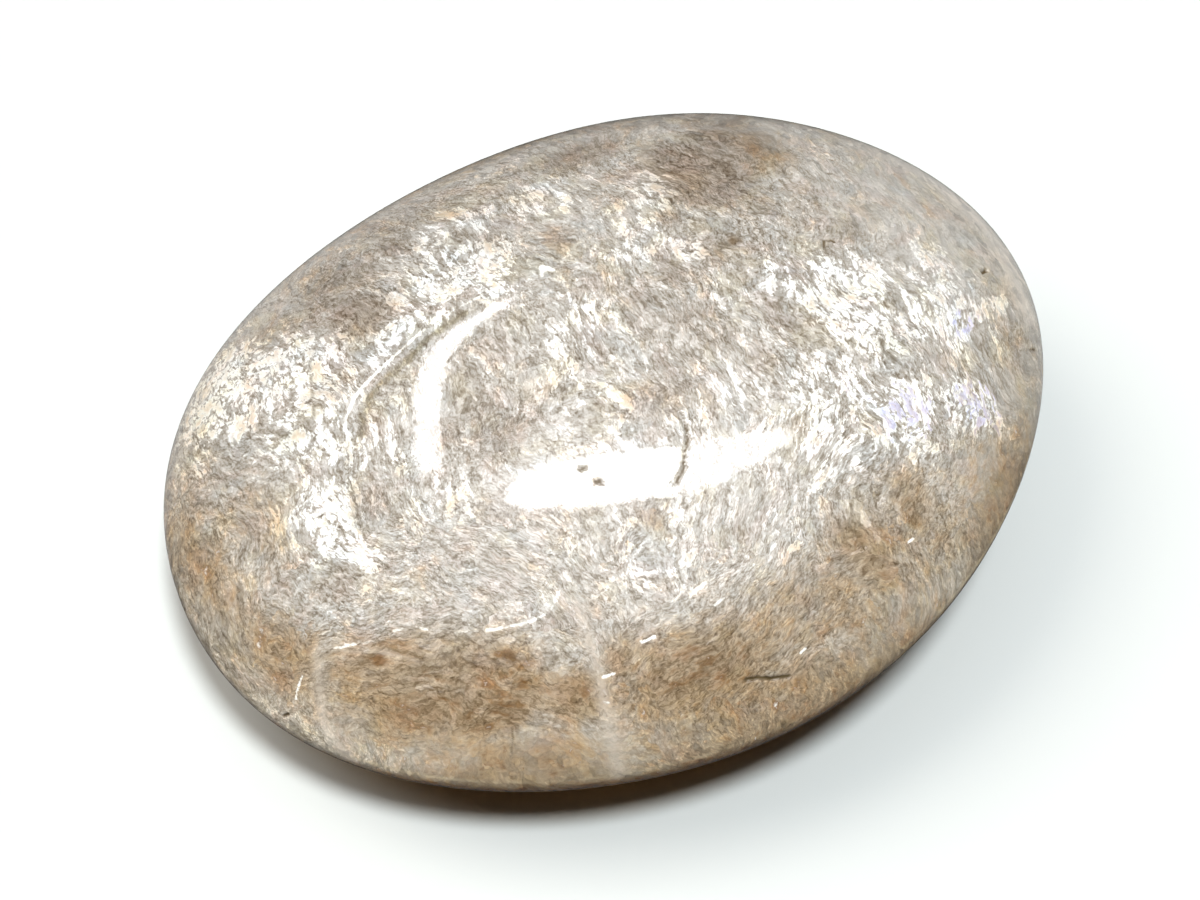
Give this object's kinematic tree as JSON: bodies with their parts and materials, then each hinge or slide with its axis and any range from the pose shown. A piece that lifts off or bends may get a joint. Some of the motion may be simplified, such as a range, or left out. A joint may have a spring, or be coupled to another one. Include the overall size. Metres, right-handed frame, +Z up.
{
  "type": "polished moonstone palm stone",
  "caption": "Oval palm stone of polished natural moonstone, a soft lens in section, that rests on a small flat spot on its belly.",
  "frame": {"origin": "on the surface that the stone rests on, under the middle of its outline", "axes": "+X along the stone's long axis towards its higher end, +Y across its width, +Z up through its thickness"},
  "size_m": [0.065, 0.053, 0.0225],
  "materials": {
    "polished_moonstone": "polished"
  },
  "bodies": {
    "root": {"moonstone": "polished_moonstone"}
  },
  "joints": []
}
